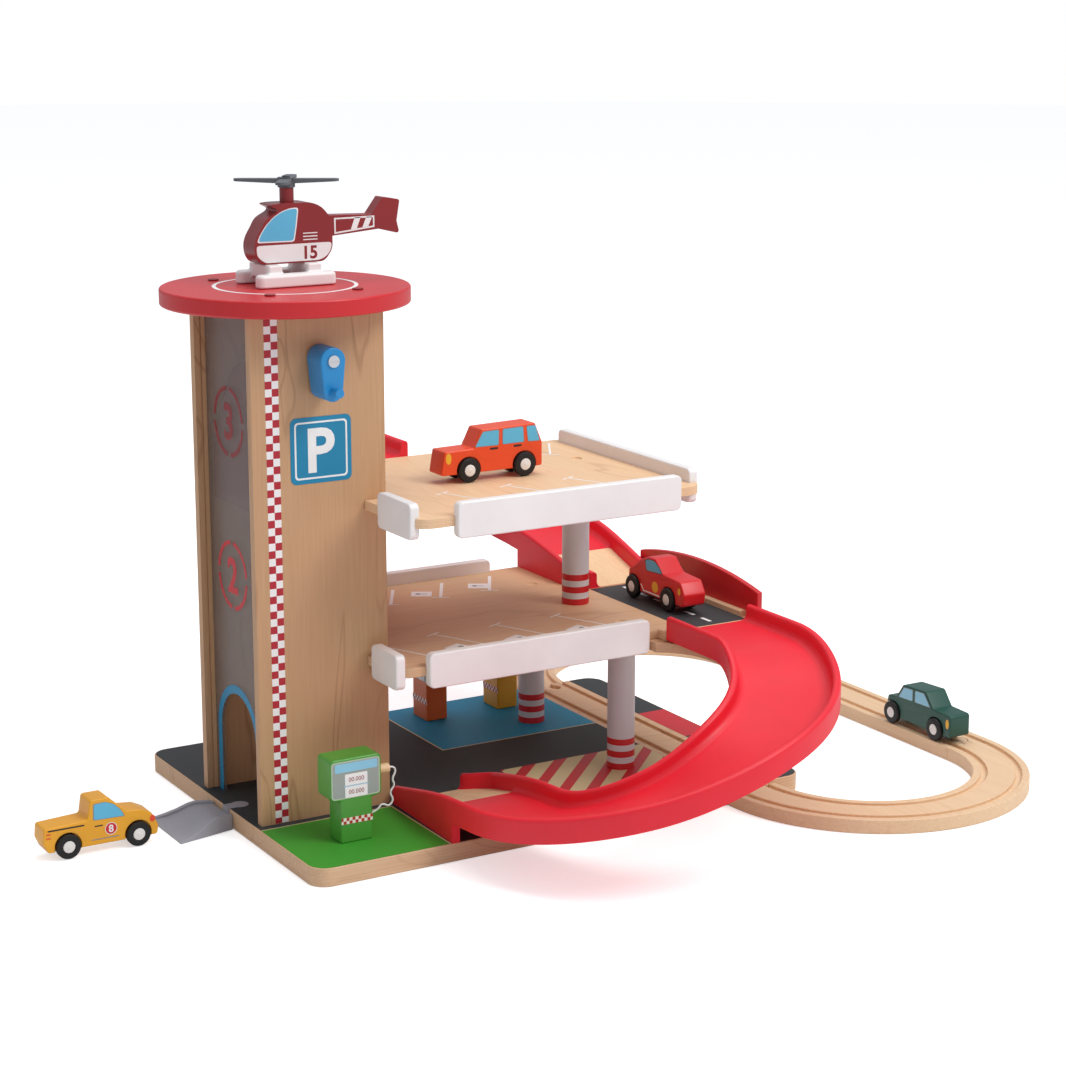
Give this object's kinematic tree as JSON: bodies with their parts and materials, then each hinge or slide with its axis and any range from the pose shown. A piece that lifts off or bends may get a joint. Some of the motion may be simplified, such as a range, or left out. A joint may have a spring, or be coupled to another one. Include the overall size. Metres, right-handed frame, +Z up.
{
  "type": "toy parking garage with lift",
  "caption": "Wooden toy parking garage with a crank lift tower, landing disc, decks, looping ramps, a train track loop, fuel pumps and play vehicles.",
  "frame": {"origin": "centre of the base board's underside", "axes": "+Z up, +X along the board's long side towards the track loop, -Y the front with the crank"},
  "size_m": [0.682, 0.5481, 0.4345],
  "materials": {
    "board_wood": "satin",
    "track_wood": "satin",
    "red_paint": "satin",
    "red_plastic": "satin",
    "white_paint": "satin",
    "column_paint": "satin",
    "clear_panel": "clear",
    "lift_plastic": "clear",
    "crank_plastic": "satin",
    "ramp_grey": "satin",
    "pump_green": "satin",
    "pump_orange": "satin",
    "pump_yellow": "satin",
    "hose": "satin",
    "steel": "satin",
    "screw_red": "satin",
    "heli_paint": "satin",
    "rotor_grey": "satin",
    "suv_paint": "satin",
    "pickup_paint": "satin",
    "red_car_paint": "satin",
    "sedan_paint": "satin",
    "wheel_rubber": "matte",
    "dowel_wood": "satin"
  },
  "bodies": {
    "garage": {"base_board": "board_wood", "tower_front_wall": "board_wood", "tower_back_wall": "board_wood", "tower_window_panel": "clear_panel", "helipad_disc": "red_paint", "helipad_screws": "screw_red", "deck_level_2": "board_wood", "deck_level_3": "board_wood", "landing_board": "board_wood", "landing_guard": "red_paint", "landing_curb": "board_wood", "column_front": "column_paint", "column_back": "column_paint", "column_upper": "column_paint", "rail_level_2_front": "white_paint", "rail_level_2_left": "white_paint", "rail_level_2_back": "white_paint", "rail_level_3_front": "white_paint", "rail_level_3_left": "white_paint", "rail_level_3_right": "white_paint", "ramp_lower": "red_plastic", "ramp_upper": "red_plastic", "ramp_lower_plate": "board_wood", "ramp_upper_plate": "board_wood", "track_front_curve": "track_wood", "track_back_curve": "track_wood", "track_side_straight": "track_wood", "entry_ramp": "ramp_grey", "pump_green": "pump_green", "pump_orange": "pump_orange", "pump_yellow": "pump_yellow", "pump_green_nozzle": "dowel_wood", "pump_green_hose": "hose"},
    "lift_cabin": {"lift_car": "lift_plastic"},
    "crank": {"crank_arm": "crank_plastic", "crank_axle": "steel", "winding_drum": "dowel_wood", "crank_screw": "steel"},
    "helicopter": {"helicopter_body": "heli_paint", "helicopter_mast": "heli_paint", "helicopter_rotor_pin": "steel", "helicopter_skids": "white_paint"},
    "rotor": {"helicopter_rotor": "rotor_grey"},
    "suv": {"suv_body": "suv_paint"},
    "suv_front_wheels": {"suv_front_wheelset": "wheel_rubber"},
    "suv_rear_wheels": {"suv_rear_wheelset": "wheel_rubber"},
    "pickup": {"pickup_body": "pickup_paint"},
    "pickup_front_wheels": {"pickup_front_wheelset": "wheel_rubber"},
    "pickup_rear_wheels": {"pickup_rear_wheelset": "wheel_rubber"},
    "red_car": {"red_car_body": "red_car_paint"},
    "red_car_front_wheels": {"red_car_front_wheelset": "wheel_rubber"},
    "red_car_rear_wheels": {"red_car_rear_wheelset": "wheel_rubber"},
    "sedan": {"sedan_body": "sedan_paint"},
    "sedan_front_wheels": {"sedan_front_wheelset": "wheel_rubber"},
    "sedan_rear_wheels": {"sedan_rear_wheelset": "wheel_rubber"}
  },
  "joints": [
    {"name": "lift_slide", "type": "slide", "parent": "garage", "child": "lift_cabin", "axis": [0, 0, 1], "range_m": [-0.2056, 0]},
    {"name": "crank_turn", "type": "hinge", "parent": "garage", "child": "crank", "pos_m": [-0.1378, 0.0005, 0.323], "axis": [0, 1, 0], "range_deg": [-1178.1, 0]},
    {"name": "helicopter_lift_off", "type": "slide", "parent": "garage", "child": "helicopter", "axis": [0, 0, 1], "range_m": [0, 0.05]},
    {"name": "rotor_spin", "type": "hinge", "parent": "helicopter", "child": "rotor", "pos_m": [-0.1323, 0.0061, 0.43015], "axis": [0, 0, 1], "continuous": true},
    {"name": "suv_lift_off", "type": "slide", "parent": "garage", "child": "suv", "axis": [0, 0, 1], "range_m": [0, 0.05]},
    {"name": "suv_front_wheels_spin", "type": "hinge", "parent": "suv", "child": "suv_front_wheels", "pos_m": [-0.0197, -0.02475, 0.23375], "axis": [0, 1, 0], "continuous": true},
    {"name": "suv_rear_wheels_spin", "type": "hinge", "parent": "suv", "child": "suv_rear_wheels", "pos_m": [0.0239, -0.02475, 0.23375], "axis": [0, 1, 0], "continuous": true},
    {"name": "pickup_lift_off", "type": "slide", "parent": "garage", "child": "pickup", "axis": [0, 0, 1], "range_m": [0, 0.05]},
    {"name": "pickup_front_wheels_spin", "type": "hinge", "parent": "pickup", "child": "pickup_front_wheels", "pos_m": [-0.2565, 0.00135, 0.00865], "axis": [0, 1, 0], "continuous": true},
    {"name": "pickup_rear_wheels_spin", "type": "hinge", "parent": "pickup", "child": "pickup_rear_wheels", "pos_m": [-0.3049, 0.00135, 0.00865], "axis": [0, 1, 0], "continuous": true},
    {"name": "red_car_lift_off", "type": "slide", "parent": "garage", "child": "red_car", "axis": [0, 0, 1], "range_m": [0, 0.05]},
    {"name": "red_car_front_wheels_spin", "type": "hinge", "parent": "red_car", "child": "red_car_front_wheels", "pos_m": [0.14015, -0.0535, 0.12745], "axis": [1, 0, 0], "continuous": true},
    {"name": "red_car_rear_wheels_spin", "type": "hinge", "parent": "red_car", "child": "red_car_rear_wheels", "pos_m": [0.14015, -0.008, 0.12745], "axis": [1, 0, 0], "continuous": true},
    {"name": "sedan_lift_off", "type": "slide", "parent": "garage", "child": "sedan", "axis": [0, 0, 1], "range_m": [0, 0.05]},
    {"name": "sedan_front_wheels_spin", "type": "hinge", "parent": "sedan", "child": "sedan_front_wheels", "pos_m": [0.33235, -0.1222, 0.01865], "axis": [1, 0, 0], "continuous": true},
    {"name": "sedan_rear_wheels_spin", "type": "hinge", "parent": "sedan", "child": "sedan_rear_wheels", "pos_m": [0.33235, -0.0724, 0.01865], "axis": [1, 0, 0], "continuous": true}
  ],
  "couplings": [
    {"joint": "crank_turn", "follows": "lift_slide", "rad_per_m": 100}
  ]
}
